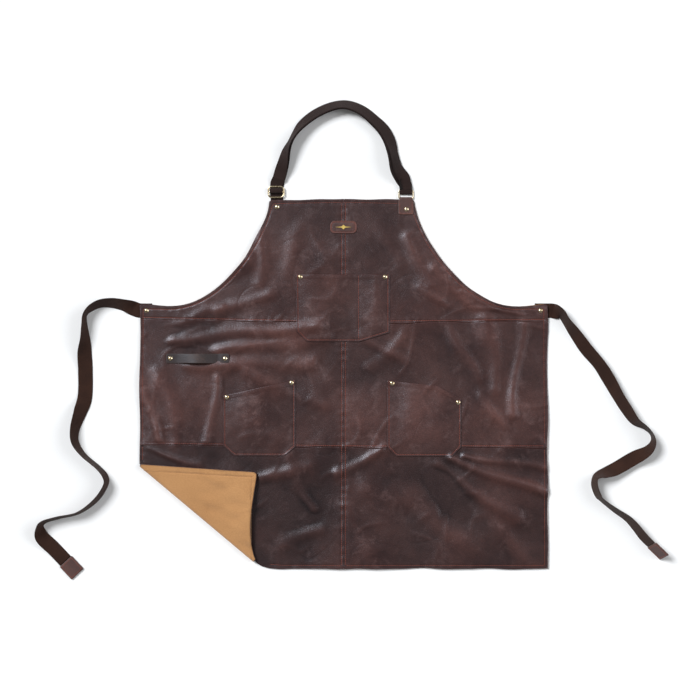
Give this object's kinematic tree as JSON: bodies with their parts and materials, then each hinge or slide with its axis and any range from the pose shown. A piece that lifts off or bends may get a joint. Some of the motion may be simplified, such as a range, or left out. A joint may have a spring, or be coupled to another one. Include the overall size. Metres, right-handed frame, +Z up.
{
  "type": "butcher apron",
  "caption": "Lined leather butcher apron laid flat, with bib and hip pockets, a towel loop, an adjustable webbing neck loop and webbing waist ties.",
  "frame": {"origin": "on the surface that the apron lies on, under the middle of its body", "axes": "+Z up out of the leather face, +Y towards the neck, +X to the right seen from above"},
  "size_m": [1.2585, 0.9572, 0.0304],
  "materials": {
    "apron_leather": "waxed, soft sheen",
    "trim_leather": "waxed, soft sheen",
    "lining_twill": "matte twill",
    "neck_webbing": "matte woven",
    "waist_webbing": "matte woven",
    "brass": "antique, polished",
    "gold_foil": "foil stamp"
  },
  "bodies": {
    "apron": {"bib_panel_left": "apron_leather", "bib_panel_right": "apron_leather", "waist_panel_left": "apron_leather", "waist_panel_right": "apron_leather", "skirt_panel_left": "apron_leather", "skirt_panel_right": "apron_leather", "chest_pocket": "apron_leather", "hip_pocket_left": "apron_leather", "hip_pocket_right": "apron_leather", "towel_loop": "trim_leather", "name_patch": "trim_leather", "ring_tab": "trim_leather", "tie_tip_left": "trim_leather", "tie_tip_right": "trim_leather", "lining": "lining_twill", "patch_ornament": "gold_foil", "neck_strap_end": "neck_webbing", "waist_tie_left": "waist_webbing", "waist_tie_right": "waist_webbing", "rivet_bib_strap": "brass", "rivet_back_bib_strap": "brass", "rivet_ring_tab": "brass", "rivet_back_ring_tab": "brass", "rivet_waist_left": "brass", "rivet_back_waist_left": "brass", "rivet_waist_right": "brass", "rivet_back_waist_right": "brass", "rivet_chest_left": "brass", "rivet_back_chest_left": "brass", "rivet_chest_right": "brass", "rivet_back_chest_right": "brass", "rivet_hip_left_outer": "brass", "rivet_back_hip_left_outer": "brass", "rivet_hip_left_inner": "brass", "rivet_back_hip_left_inner": "brass", "rivet_hip_right_inner": "brass", "rivet_back_hip_right_inner": "brass", "rivet_hip_right_outer": "brass", "rivet_back_hip_right_outer": "brass", "rivet_towel_loop_left": "brass", "rivet_back_towel_loop_left": "brass", "rivet_towel_loop_right": "brass", "rivet_back_towel_loop_right": "brass"},
    "neck_loop": {"neck_strap": "neck_webbing", "neck_strap_return": "neck_webbing", "strap_ring": "brass"},
    "slider": {"strap_slider": "brass"}
  },
  "joints": [
    {"name": "neck_loop_swing", "type": "hinge", "parent": "apron", "child": "neck_loop", "pos_m": [0.1246, 0.3697, 0.0031], "axis": [1, 0, 0], "range_deg": [0, 90]},
    {"name": "slider_slide", "type": "slide", "parent": "neck_loop", "child": "slider", "axis": [0.184, 0.9829, 0], "range_m": [0, 0.02], "deforming": ["neck_strap_return"]}
  ]
}
